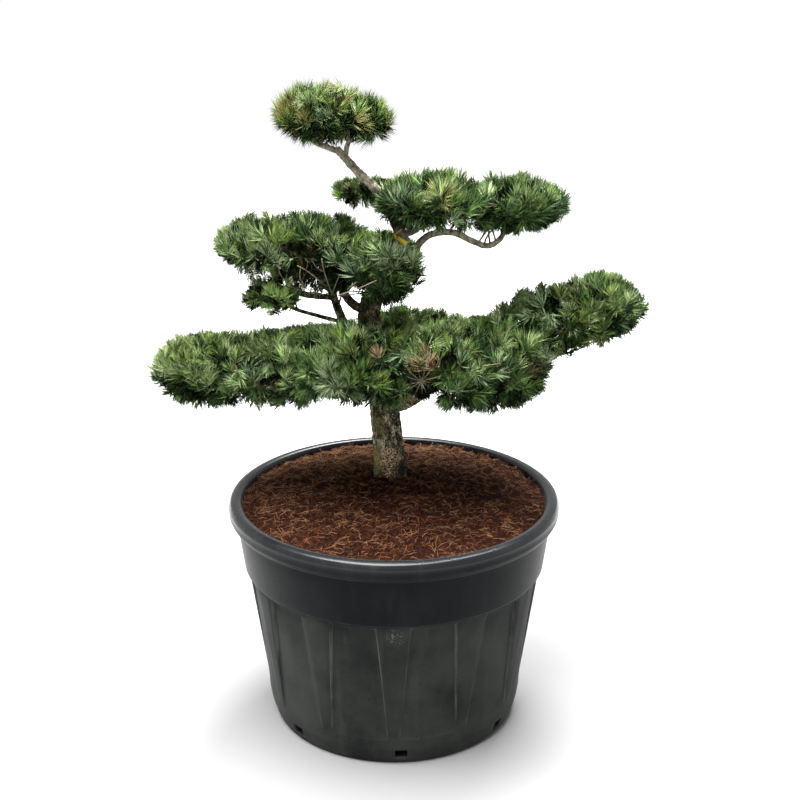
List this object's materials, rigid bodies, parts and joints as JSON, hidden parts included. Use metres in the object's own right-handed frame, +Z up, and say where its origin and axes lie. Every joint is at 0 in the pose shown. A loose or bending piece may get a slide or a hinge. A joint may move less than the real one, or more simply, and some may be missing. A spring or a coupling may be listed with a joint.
{
  "type": "cloud-pruned japanese white pine in a nursery pot",
  "caption": "Cloud-pruned Japanese white pine with flat cushions of needles on curved boughs, planted in coir soil in a round ribbed black nursery pot.",
  "frame": {"origin": "middle of the pot's flat underside", "axes": "+Z up along the pot's axis, -Y towards the front of the plant, +X towards its raised right arm"},
  "size_m": [0.9574, 0.659, 1.2498],
  "materials": {
    "pot_plastic": "charcoal black moulded plastic, semi-matt, dusty, with small water drops and scuffs",
    "coir_soil": "loose red-brown coir fibre, matt",
    "bark": "grey-brown scaly pine bark, matt, mossy in places",
    "needles": "blue-green to yellow-green pine needles, satin",
    "tie_plastic": "yellow plastic tying band, semi-matt"
  },
  "bodies": {
    "root": {"pot": "pot_plastic", "soil": "coir_soil", "trunk": "bark", "left_stem": "bark", "top_right_bough": "bark", "upper_back_bough": "bark", "upper_middle_bough": "bark", "upper_right_bough": "bark", "middle_left_bough": "bark", "tuft_bough": "bark", "middle_right_bough": "bark", "middle_back_bough": "bark", "low_left_bough": "bark", "low_inner_left_bough": "bark", "low_front_left_bough": "bark", "low_front_right_bough": "bark", "low_right_bough": "bark", "arm_inner_bough": "bark", "arm_outer_bough": "bark", "low_back_left_bough": "bark", "low_back_bough": "bark", "low_back_right_bough": "bark", "top_left_pad": "needles", "top_right_pad": "needles", "upper_back_pad": "needles", "upper_middle_pad": "needles", "upper_right_pad": "needles", "middle_left_pad": "needles", "middle_inner_pad": "needles", "middle_right_pad": "needles", "middle_back_pad": "needles", "middle_tuft": "needles", "low_left_pad": "needles", "low_inner_left_pad": "needles", "low_front_left_pad": "needles", "low_front_right_pad": "needles", "low_right_pad": "needles", "arm_inner_pad": "needles", "arm_outer_pad": "needles", "low_back_left_pad": "needles", "low_back_pad": "needles", "low_back_right_pad": "needles", "tie": "tie_plastic"}
  },
  "joints": []
}
